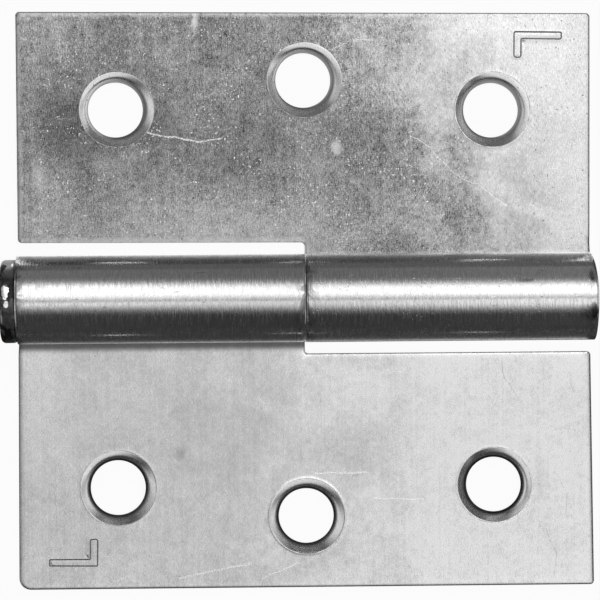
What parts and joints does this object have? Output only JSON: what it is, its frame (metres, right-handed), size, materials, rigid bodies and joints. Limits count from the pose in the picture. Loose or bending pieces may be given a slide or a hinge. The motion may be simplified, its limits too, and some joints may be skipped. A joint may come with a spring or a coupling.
{
  "type": "lift-off hinge",
  "caption": "Steel lift-off door hinge, left hand: two rolled sheet leaves with countersunk screw holes on a headed pin. It turns and slides apart along the pin.",
  "frame": {"origin": "foot of the pin axis on the plane of the back faces, at the joint between the two knuckles", "axes": "+X along the pin away from its head, +Y towards the socket leaf, +Z out of the front faces"},
  "size_m": [0.0769, 0.0753, 0.0114],
  "materials": {
    "leaf_steel": "bright zinc plate over rolled sheet, finely streaked and scuffed",
    "pin_steel": "plated wire with a hammered head"
  },
  "bodies": {
    "pin_leaf": {"pin_leaf": "leaf_steel"},
    "pin": {"pin": "pin_steel"},
    "socket_leaf": {"socket_leaf": "leaf_steel"}
  },
  "joints": [
    {"name": "turn", "type": "hinge", "parent": "pin_leaf", "child": "pin", "pos_m": [0, 0, 0.00568], "axis": [1, 0, 0], "range_deg": [-102, 190]},
    {"name": "lift_off", "type": "slide", "parent": "pin", "child": "socket_leaf", "axis": [1, 0, 0], "range_m": [0, 0.035]}
  ]
}
